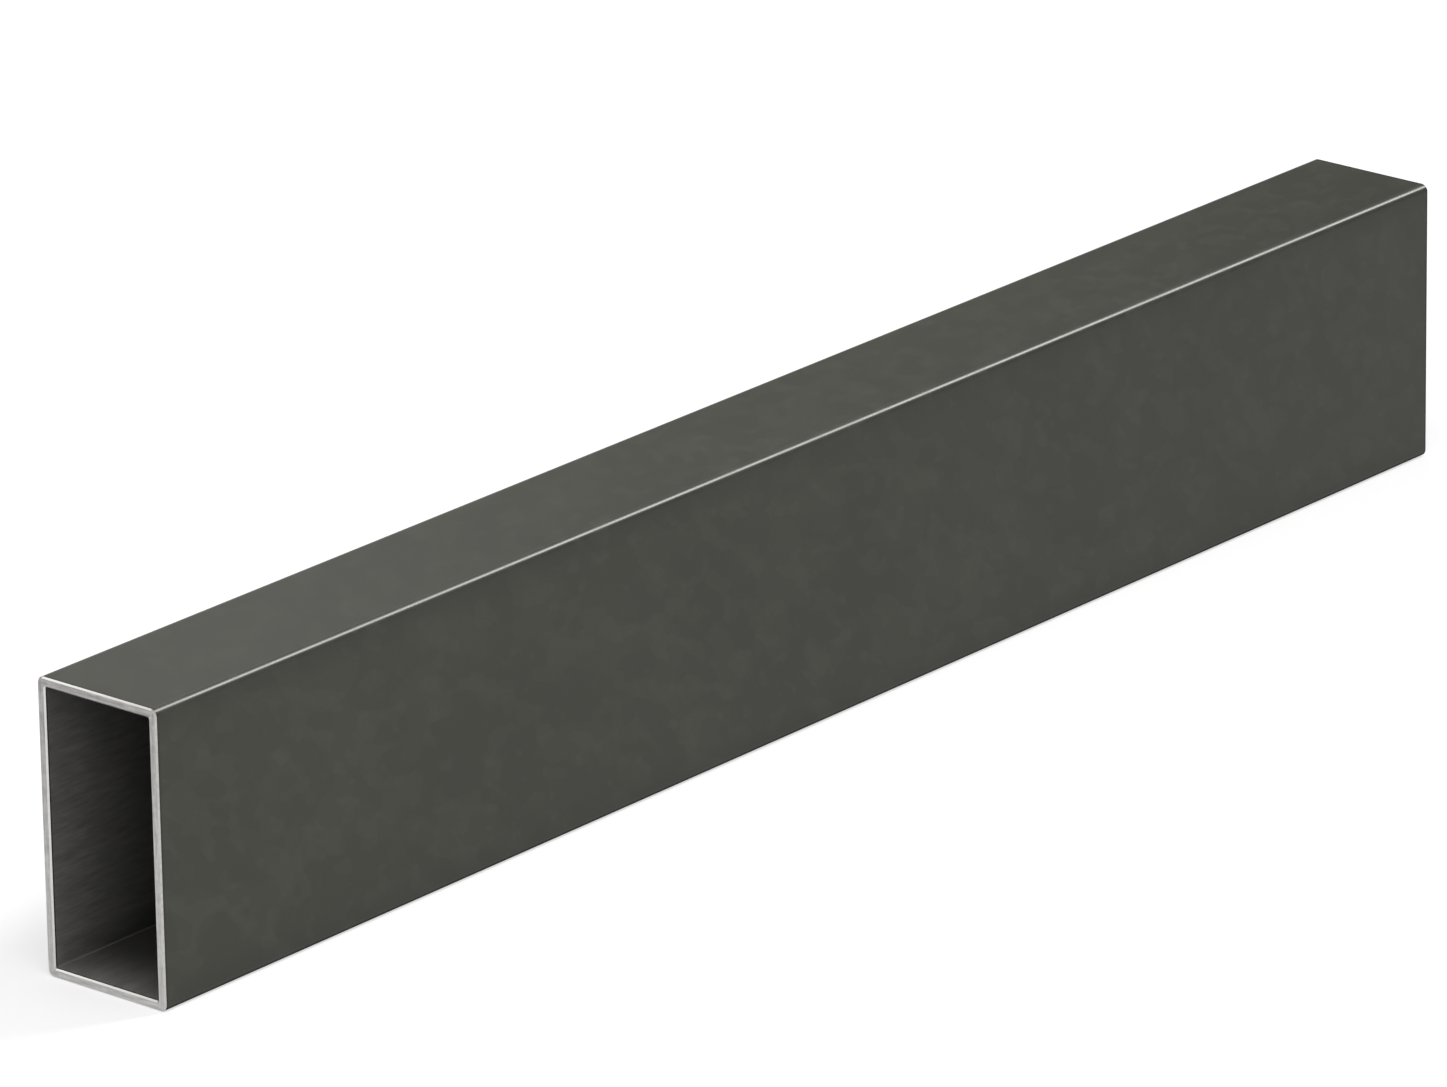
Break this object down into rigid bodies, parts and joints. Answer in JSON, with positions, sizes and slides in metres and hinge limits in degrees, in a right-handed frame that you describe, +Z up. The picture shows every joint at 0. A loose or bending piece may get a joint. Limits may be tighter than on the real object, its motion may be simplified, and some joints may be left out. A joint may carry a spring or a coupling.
{
  "type": "pergola purlin",
  "caption": "Rectangular hollow purlin for a pergola roof: a straight thin-walled tube standing on edge, dark grey coated outside, with square sawn bare-metal ends and an open bore.",
  "frame": {"origin": "centre of the underside, midway between the two sawn ends", "axes": "+X along the length, +Y across the narrow width, +Z up the deep side of the section"},
  "size_m": [0.65, 0.05, 0.1],
  "materials": {
    "powder_coat": "satin"
  },
  "bodies": {
    "root": {"purlin_tube": "powder_coat"}
  },
  "joints": []
}
